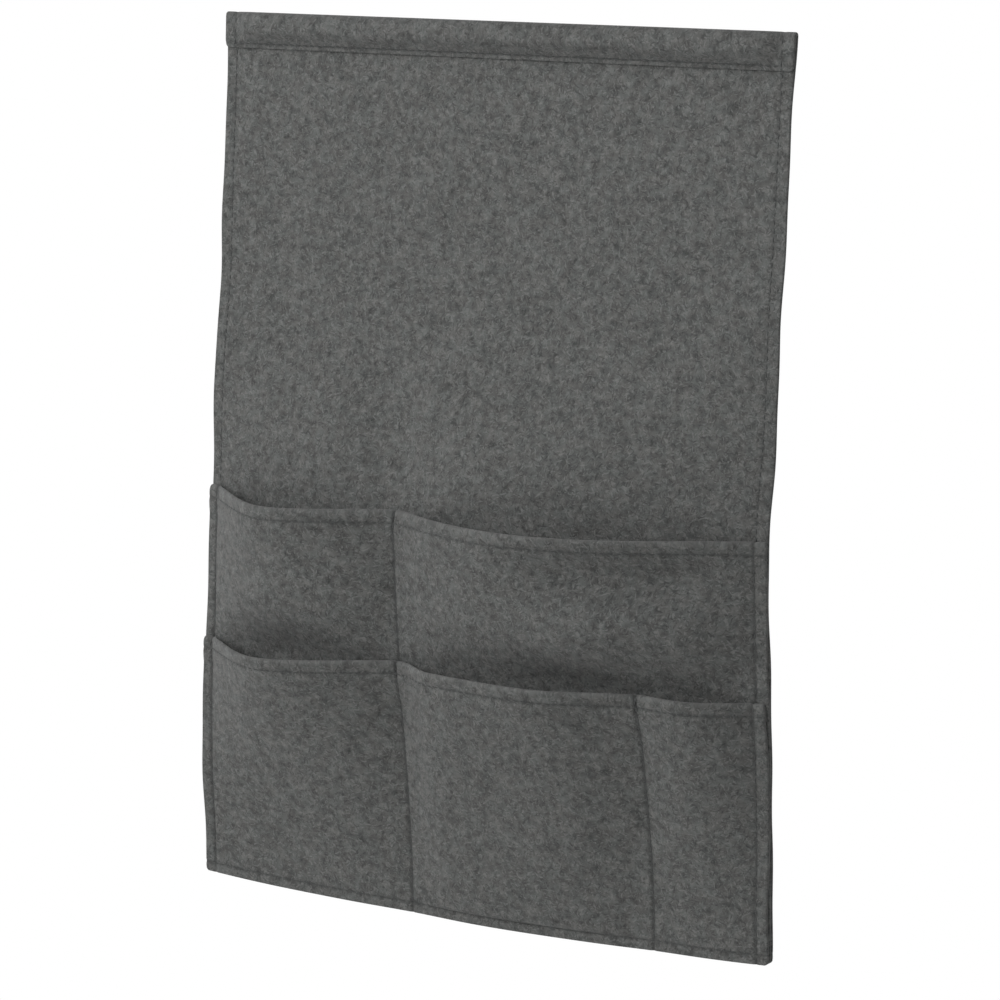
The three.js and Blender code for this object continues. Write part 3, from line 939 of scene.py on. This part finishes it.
class SeamLines:
    """Lines on the faces of the felt, gathered for one piece of stitching."""

    # Spacing of a line's points, and the small step that shows how the face is turned at each of them
    STEP = 0.0016
    BESIDE = 0.0005

    def __init__(self, form):
        self.form = form
        self.points, self.outs, self.edges = [], [], []

    def add(self, across, height, face, depth, outward):
        """A line over these stations on a face. Depth is from the face, and outward is 1 on a front
        and -1 on a back."""
        across, height = np.broadcast_arrays(np.asarray(across, float), np.asarray(height, float))
        points = face(across, height)
        wide = face(across + self.BESIDE, height) - face(across - self.BESIDE, height)
        tall = face(across, height + self.BESIDE) - face(across, height - self.BESIDE)
        out = np.cross(wide, tall) * outward
        points[..., 1] -= depth
        first = sum(len(p) for p in self.points)
        self.points.append(points)
        self.outs.append(out / np.linalg.norm(out, axis=-1, keepdims=True))
        self.edges += [(first + k, first + k + 1) for k in range(len(points) - 1)]

    def stations(self, start, end):
        return np.linspace(start, end, max(2, int((end - start) / self.STEP)))

    def upright(self, across, bottom, top, face, depth, outward=1):
        self.add(across, self.stations(bottom, top), face, depth, outward)

    def level(self, start, end, height, face, depth, outward=1):
        self.add(self.stations(start, end), height, face, depth, outward)

    def sew(self, name):
        """Runs the stitch tree over the lines and returns the stitches as a plain mesh object."""
        caddy = self.form.caddy
        mesh = bpy.data.meshes.new(name)
        mesh.from_pydata(np.concatenate(self.points), self.edges, [])
        store(mesh, "out_of_felt", "FLOAT_VECTOR", self.outs)
        obj = link(name, mesh)
        tree = bpy.data.node_groups.get("caddy_stitches") or stitch_tree()
        modifier = obj.modifiers.new("stitches", "NODES")
        modifier.node_group = tree
        values = {
            "Pitch": caddy.seams.pitch,
            "Stitch Length": caddy.seams.stitch,
            "Thread Diameter": caddy.seams.thread,
            "Seed": caddy.seams.seed,
            "Thread": finish("sewing_thread", thread_finish, caddy),
        }
        for item in tree.interface.items_tree:
            if item.in_out == "INPUT" and item.name in values:
                modifier[item.identifier] = values[item.name]
        graph = bpy.context.evaluated_depsgraph_get()
        sewn = bpy.data.meshes.new_from_object(obj.evaluated_get(graph), depsgraph=graph)
        obj.modifiers.remove(modifier)
        obj.data = sewn
        bpy.data.meshes.remove(mesh)
        sewn.name = name
        if not len(sewn.polygons):
            raise RuntimeError(f"{name} has no stitches")
        return obj


# Operators

def form_of(context):
    return FeltForm(context.scene.caddy)


class CADDY_OT_back_felt(bpy.types.Operator):
    """Make the back felt: panel, tuck flap and rod sleeve in one piece"""

    bl_idname = "caddy.back_felt"
    bl_label = "Back Felt"

    def execute(self, context):
        form = form_of(context)
        caddy, pockets = form.caddy, form.caddy.pockets
        across = form.columns()
        depth, height, on_lap = sleeve_path(form, across)
        side = across[:, None]
        seam = form.ROW_FURROW * form.furrow(height - form.sleeve_seam)
        edges = form.side_furrows(side, height)
        dividers = np.maximum(
            form.furrow(side - form.divider_1) * (height < pockets.upper_mouth),
            form.furrow(side - form.divider_2) * (height < pockets.lower_mouth),
        )
        bottom = form.BOTTOM_FURROW * form.furrow(height - caddy.seams.bottom_inset)
        front_dent = edges * (1 - on_lap) * (height > pockets.upper_mouth)
        behind = form.BACK_FURROW * np.maximum.reduce([edges, dividers, bottom, seam])
        back_dent = np.where(on_lap > 0, np.maximum(seam, edges), behind)
        obj, length = lay_felt(
            "back_felt", form, across, (depth, height), form.back_face, (front_dent, back_dent),
            phase=0.4, pressed_end=0.005,
        )
        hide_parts("tuck_flap", "back_panel")
        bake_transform(obj)
        return {"FINISHED"}


class CADDY_OT_pocket_strips(bpy.types.Operator):
    """Make the two pocket strips with their turned hems"""

    bl_idname = "caddy.pocket_strips"
    bl_label = "Pocket Strips"

    # A divider's seam sinks further just under a mouth, where it is sewn twice
    TACK_DEEPER, TACK_DROP, TACK_RUN = 0.8, 0.006, 0.007
    # Half height of the band along the fold of a hem, which is drawn in at the side edges and painted lighter: a
    # painted highlight, with fibres worn there
    FOLD_BAND_RUN = 0.0024

    def execute(self, context):
        form = form_of(context)
        caddy, pockets = form.caddy, form.caddy.pockets
        across = form.columns()
        side = across[:, None]
        first, second = form.divider_1, form.divider_2
        strips = (
            ("upper_strip", "upper_pocket_strip", pockets.upper_mouth, form.upper_face, (first,), 1.7),
            ("lower_strip", "lower_pocket_strip", pockets.lower_mouth, form.lower_face, (first, second), 3.1),
        )
        for name, node, mouth, face, dividers, phase in strips:
            depth, height, on_lap, thinned = strip_path(form, mouth, across)
            tacked = 1 + self.TACK_DEEPER * bell(mouth - self.TACK_DROP - height, self.TACK_RUN)
            upright = form.furrow(*(side - seam for seam in dividers)) * tacked
            upright = np.maximum(upright, form.side_furrows(side, height))
            hem = form.ROW_FURROW * form.furrow(height - mouth + pockets.hem_seam)
            bottom = form.BOTTOM_FURROW * form.furrow(height - caddy.seams.bottom_inset)
            front_dent = np.where(on_lap > 0, hem, np.maximum.reduce([upright, hem, bottom]))
            obj, length = lay_felt(
                name, form, across, (depth, height), face, (front_dent, np.zeros_like(height)), phase,
                fold=bell(mouth - height, self.FOLD_BAND_RUN), thinned=thinned,
            )
            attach(obj, "panel")
            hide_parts(node)
        return {"FINISHED"}


class CADDY_OT_stitches(bpy.types.Operator):
    """Sew the seams, with thread on the front and on the back of the felt"""

    bl_idname = "caddy.stitches"
    bl_label = "Stitches"

    # How far stitches keep from a mouth, from the sleeve's raw edge, from the bottom seam, the top edge and
    # the sleeve's ends, and a hem's stitches from the side edges and, inside, from the side seams
    BELOW_MOUTH, ABOVE_MOUTH = 0.0045, 0.0035
    BELOW_LAP, ABOVE_LAP = 0.003, 0.0045
    FOOT_CLEAR, TOP_CLEAR, SLEEVE_CLEAR = 0.003, 0.006, 0.004
    HEM_CLEAR, INNER_HEM_CLEAR = 0.004, 0.016
    # The second row that tacks a divider's top: its offset, and where it starts and ends below the mouth
    TACK_OFFSET, TACK_START, TACK_END = 0.0007, 0.017, 0.0032
    # How deep the threads of each seam lie, as shares of a full furrow
    SUNK = {
        "sleeve": 0.45, "edge": 0.75, "flap edge": 0.35, "bottom": 0.55, "hem": 0.42, "divider": 0.9,
        "tack": 0.8, "back": 0.45,
    }

    def execute(self, context):
        form = form_of(context)
        felt, pockets, seams = form.caddy.felt, form.caddy.pockets, form.caddy.seams

        def sunk(seam):
            return felt.thickness - self.SUNK[seam] * seams.furrow_depth

        back = self.SUNK["back"] * seams.furrow_depth
        lower, upper = pockets.lower_mouth, pockets.upper_mouth
        foot = seams.bottom_inset + self.FOOT_CLEAR
        flap_top = felt.height - self.TOP_CLEAR
        edge = form.edge_seam

        sleeve = SeamLines(form)
        end = edge - self.SLEEVE_CLEAR
        sleeve.level(-end, end, form.sleeve_seam, form.back_face, form.layer + sunk("sleeve"))
        sleeve.level(-end, end, form.sleeve_seam, form.back_face, back, -1)
        obj = sleeve.sew("sleeve_stitches")
        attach(obj, "flap")
        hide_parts("sleeve_thread")

        edges = SeamLines(form)
        for across in (-edge, edge):
            for bottom, top, face, depth in (
                (foot, lower - self.BELOW_MOUTH, form.lower_face, sunk("edge")),
                (lower + self.ABOVE_MOUTH, upper - self.BELOW_MOUTH, form.upper_face, sunk("edge")),
                (upper + self.ABOVE_MOUTH, form.raw_edge - self.BELOW_LAP, form.back_face, sunk("flap edge")),
                (form.raw_edge + self.ABOVE_LAP, flap_top, form.back_face, form.layer + sunk("flap edge")),
            ):
                edges.upright(across, bottom, top, face, depth)
            edges.upright(across, foot, flap_top, form.back_face, back, -1)
        obj = edges.sew("edge_stitches")
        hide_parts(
            "left_edge_thread_upper", "right_edge_thread_upper",
            "left_edge_thread_lower", "right_edge_thread_lower",
        )
        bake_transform(obj)

        rows = SeamLines(form)
        rows.level(-edge, edge, seams.bottom_inset, form.lower_face, sunk("bottom"))
        rows.level(-edge, edge, seams.bottom_inset, form.back_face, back, -1)
        outer, inner = form.half - self.HEM_CLEAR, edge - self.INNER_HEM_CLEAR
        for mouth, face in ((upper, form.upper_face), (lower, form.lower_face)):
            rows.level(-outer, outer, mouth - pockets.hem_seam, face, sunk("hem"))
            rows.level(-inner, inner, mouth - pockets.hem_seam, face, -form.layer + back, -1)
        for divider, top, face in (
            (form.divider_1, upper, form.upper_face), (form.divider_2, lower, form.lower_face)
        ):
            rows.upright(divider, foot, lower - self.BELOW_MOUTH, form.lower_face, sunk("divider"))
            if top > lower:
                start = lower + self.ABOVE_MOUTH
                rows.upright(divider, start, top - self.BELOW_MOUTH, face, sunk("divider"))
            rows.upright(divider, foot, top - self.BELOW_MOUTH, form.back_face, back, -1)
            tack = divider + self.TACK_OFFSET
            rows.upright(tack, top - self.TACK_START, top - self.TACK_END, face, sunk("tack"))
        obj = rows.sew("pocket_stitches")
        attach(obj, "panel")
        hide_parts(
            "upper_mouth_thread", "lower_mouth_thread", "bottom_thread",
            "divider_1_thread", "divider_2_thread",
        )
        return {"FINISHED"}


class CADDY_OT_rod(bpy.types.Operator):
    """Give the rod in the sleeve its plastic"""

    bl_idname = "caddy.rod"
    bl_label = "Sleeve Rod"

    def execute(self, context):
        rod = frame["nodes"]["sleeve_rod"]
        rod.data.materials.clear()
        rod.data.materials.append(finish("drawn_plastic", rod_finish, context.scene.caddy))
        return {"FINISHED"}


class CADDY_OT_stage(bpy.types.Operator):
    """Set the floor, the light and the camera"""

    bl_idname = "caddy.stage"
    bl_label = "Stage"

    # Each lamp's place, seen from what it is aimed at, and its size
    LAMPS = {
        "key": ((-0.35, -1.82, 0.80), 1.2),
        "side": ((-1.92, -0.50, -0.20), 1.2),
        "top": ((-0.30, -1.00, 1.70), 1.0),
        "back": ((0.40, 1.90, 0.60), 1.2),
    }
    FLOOR_RADIUS, FLOOR_SIDES = 4.0, 64
    # Distances between which the floor fades from half its own look to the white surround
    FADE_START, FADE_END = 1.05, 1.55

    def execute(self, context):
        caddy = context.scene.caddy
        base = -form_of(context).origin_height
        self.set_camera(context, caddy.studio, base)
        self.set_light(context, caddy.studio, base)
        self.set_floor(caddy, base)
        context.scene.view_settings.view_transform = "Standard"
        return {"FINISHED"}

    def set_camera(self, context, studio, base):
        turn, lift, roll = studio.turn, studio.lift, studio.roll
        back = Vector((
            math.sin(turn) * math.cos(lift), -math.cos(turn) * math.cos(lift), math.sin(lift)
        ))
        right = Vector((math.cos(turn), math.sin(turn), 0))
        up = back.cross(right)
        rolled_right = math.cos(roll) * right + math.sin(roll) * up
        rolled_up = math.cos(roll) * up - math.sin(roll) * right
        target = Vector((studio.target_across, 0, studio.target_height + base))
        camera = link("camera", bpy.data.cameras.new("camera"))
        camera.data.lens = studio.lens
        camera.data.sensor_width = 36
        camera.data.clip_end = 100
        turned = Matrix((rolled_right, rolled_up, back)).transposed().to_4x4()
        camera.matrix_world = Matrix.Translation(target + studio.distance * back) @ turned
        context.scene.camera = camera

    def seen(self, tree):
        """1 for what the camera sees, also in a reflection or through glass."""
        path = tree.nodes.new("ShaderNodeLightPath")
        total = path.outputs["Is Camera Ray"]
        for name in ("Is Glossy Ray", "Is Transmission Ray"):
            either = tree.nodes.new("ShaderNodeMath")
            either.operation = "MAXIMUM"
            tree.links.new(total, either.inputs[0])
            tree.links.new(path.outputs[name], either.inputs[1])
            total = either.outputs[0]
        return total

    def set_light(self, context, studio, base):
        aim = Vector((0, 0, studio.target_height + base))
        for name, (place, size) in self.LAMPS.items():
            lamp = bpy.data.lights.new(name, "AREA")
            lamp.shape = "SQUARE"
            lamp.size = size
            lamp.energy = getattr(studio, name)
            obj = link(name, lamp)
            obj.location = aim + Vector(place)
            obj.rotation_euler = Vector(place).to_track_quat("Z", "Y").to_euler()
        world = bpy.data.worlds.new("studio")
        context.scene.world = world
        world.use_nodes = True
        nodes, links = world.node_tree.nodes, world.node_tree.links
        nodes.clear()
        strength = nodes.new("ShaderNodeMapRange")
        links.new(self.seen(world.node_tree), strength.inputs["Value"])
        strength.inputs["To Min"].default_value = studio.ambient
        strength.inputs["To Max"].default_value = 1.0
        background = nodes.new("ShaderNodeBackground")
        background.inputs["Color"].default_value = (1, 1, 1, 1)
        links.new(strength.outputs[0], background.inputs["Strength"])
        links.new(background.outputs[0], nodes.new("ShaderNodeOutputWorld").inputs["Surface"])

    def set_floor(self, caddy, base):
        """A pale floor that keeps the shadow near the caddy and turns into the white surround."""
        level = base - caddy.studio.floor_drop
        turns = [2 * math.pi * k / self.FLOOR_SIDES for k in range(self.FLOOR_SIDES)]
        points = [(self.FLOOR_RADIUS * math.cos(a), self.FLOOR_RADIUS * math.sin(a), level) for a in turns]
        mesh = bpy.data.meshes.new("floor")
        mesh.from_pydata(points, [], [range(self.FLOOR_SIDES)])
        obj = link("floor", mesh)
        floor = Finish("pale_floor")
        floor.set(Base_Color=caddy.finishes.floor, Roughness=0.9, Specular_IOR_Level=0.1)
        away = floor.node("ShaderNodeVectorMath", {"operation": "LENGTH"}, {0: floor.place()}, output=1)
        far = floor.between(away, self.FADE_START, self.FADE_END)
        seen = Value(floor, self.seen(floor.tree))
        white = floor.node("ShaderNodeEmission", None, {"Color": (1, 1, 1), "Strength": 1.0})
        own = Value(floor, floor.surface.outputs[0])
        mixed = floor.node("ShaderNodeMixShader", None, {0: (0.5 + 0.5 * far) * seen, 1: own, 2: white})
        floor.tree.links.new(mixed.socket, floor.tree.nodes["Material Output"].inputs["Surface"])
        mesh.materials.append(floor.material)


class CADDY_PT_panel(bpy.types.Panel):
    """Sizes, colours and steps of the caddy"""

    bl_idname = "CADDY_PT_panel"
    bl_label = "Bedside Caddy"
    bl_space_type = "VIEW_3D"
    bl_region_type = "UI"
    bl_category = "Caddy"

    def draw(self, context):
        caddy = context.scene.caddy
        for part in GROUPS:
            group = getattr(caddy, part)
            box = self.layout.box()
            box.label(text=part.title())
            for name in group.__annotations__:
                box.prop(group, name)
        for step in STEPS:
            self.layout.operator(step.bl_idname)


STEPS = (
    CADDY_OT_stage, CADDY_OT_back_felt, CADDY_OT_pocket_strips, CADDY_OT_stitches, CADDY_OT_rod,
)
CLASSES = (*GROUPS.values(), CaddySettings, *STEPS, CADDY_PT_panel)


def register():
    for cls in CLASSES:
        bpy.utils.register_class(cls)
    bpy.types.Scene.caddy = PointerProperty(type=CaddySettings)


def unregister():
    del bpy.types.Scene.caddy
    for cls in reversed(CLASSES):
        bpy.utils.unregister_class(cls)


def main():
    register()
    bpy.ops.caddy.stage()
    bpy.ops.caddy.back_felt()
    bpy.ops.caddy.pocket_strips()
    bpy.ops.caddy.stitches()
    bpy.ops.caddy.rod()


if __name__ == "__main__":
    main()
